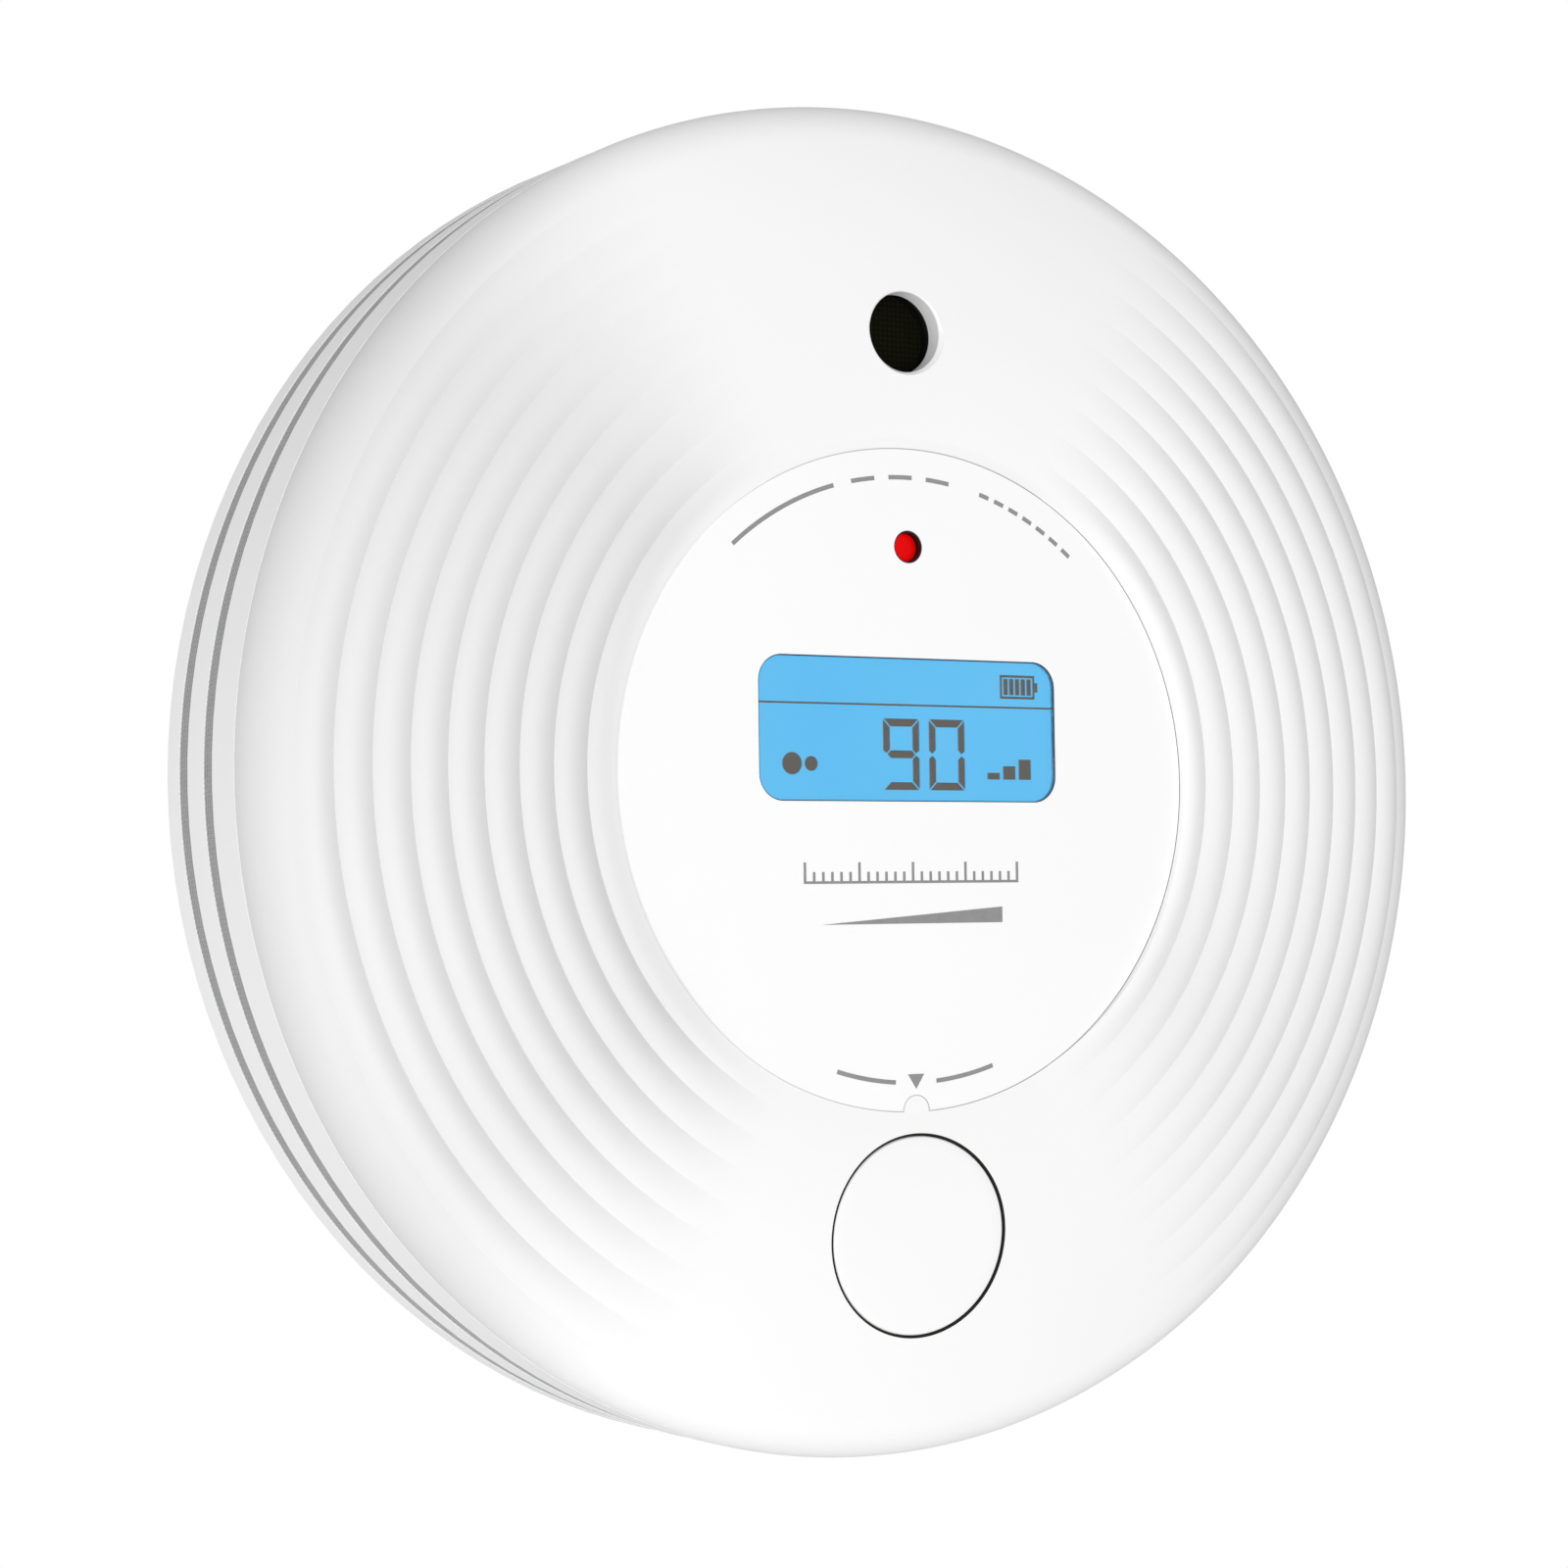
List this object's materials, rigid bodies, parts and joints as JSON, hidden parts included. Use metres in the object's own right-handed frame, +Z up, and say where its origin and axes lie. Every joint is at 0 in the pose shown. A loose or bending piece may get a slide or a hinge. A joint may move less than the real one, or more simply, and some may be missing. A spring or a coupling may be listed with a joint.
{
  "type": "smoke and carbon monoxide alarm",
  "caption": "Round white combined smoke and carbon monoxide alarm with a blue readout, a test button, side vent slots and ripples left and right, on a twist-off wall bracket.",
  "frame": {"origin": "centre of the wall face of the mounting bracket, midway between its two wall screws", "axes": "+Z up the wall, -Y out into the room (the front face looks to -Y), +X to the right as seen from the front"},
  "size_m": [0.1304, 0.0285, 0.1304],
  "materials": {
    "case_white": "fine satin moulded ABS, white",
    "button_white": "satin moulded ABS, white",
    "label_film": "smooth white polycarbonate film",
    "window_clear": "clear acrylic",
    "lcd_blue": "backlit blue LCD cell",
    "backlight_white": "light guide",
    "screen_mesh": "fine woven insect mesh",
    "lamp_red": "clear red light guide",
    "black_plastic": "black moulded plastic",
    "rubber_black": "soft black rubber",
    "led_body": "moulded LED package",
    "board_green": "solder-masked circuit board",
    "steel": "nickel-plated steel",
    "brass": "brass sheet and pins",
    "copper_coil": "enamelled winding on a core",
    "capacitor_sleeve": "shrink sleeve",
    "cell_wrap": "printed-free shrink wrap"
  },
  "bodies": {
    "wall_bracket": {"mounting_bracket": "case_white"},
    "detector_head": {"rear_housing": "case_white", "vent_ring": "case_white", "rear_insect_screen": "screen_mesh", "front_insect_screen": "screen_mesh", "middle_housing": "case_white", "front_cover": "case_white", "case_screws": "steel", "label_disc": "label_film", "display_window": "window_clear", "lcd_glass": "lcd_blue", "lcd_backlight": "backlight_white", "lcd_connector": "rubber_black", "light_pipe": "lamp_red", "led_sleeve": "black_plastic", "status_led": "led_body", "button_spring": "steel", "tact_switch": "black_plastic", "main_board": "board_green", "controller_chip": "black_plastic", "smoke_chamber_base": "black_plastic", "smoke_chamber_cover": "black_plastic", "smoke_chamber_mesh": "screen_mesh", "ir_emitter": "led_body", "photodiode": "black_plastic", "co_sensor": "steel", "sensor_pins": "brass", "horn_housing": "black_plastic", "piezo_disc": "brass", "horn_gasket": "rubber_black", "horn_coil": "copper_coil", "capacitors": "capacitor_sleeve", "upper_cell": "cell_wrap", "lower_cell": "cell_wrap", "contact_springs": "steel", "contact_plates": "steel"},
    "battery_door": {"battery_door": "case_white"},
    "test_button": {"test_button": "button_white"},
    "switch_plunger": {"switch_plunger": "steel"}
  },
  "joints": [
    {"name": "head_twist", "type": "hinge", "parent": "wall_bracket", "child": "detector_head", "pos_m": [0, 0, 0], "axis": [0, -1, 0], "range_deg": [0, 15]},
    {"name": "battery_door_swing", "type": "hinge", "parent": "detector_head", "child": "battery_door", "pos_m": [0, -0.0056, 0.002], "axis": [1, 0, 0], "range_deg": [0, 100]},
    {"name": "test_button_press", "type": "slide", "parent": "detector_head", "child": "test_button", "axis": [0, 1, 0], "range_m": [0, 0.001], "stiffness_N_per_m": 1200, "springref_m": -0.0005, "deforming": ["button_spring"]},
    {"name": "switch_plunger_press", "type": "slide", "parent": "detector_head", "child": "switch_plunger", "axis": [0, 1, 0], "range_m": [0, 0.00025]}
  ],
  "couplings": [
    {"joint": "switch_plunger_press", "follows": "test_button_press", "ratio": 0.25}
  ]
}
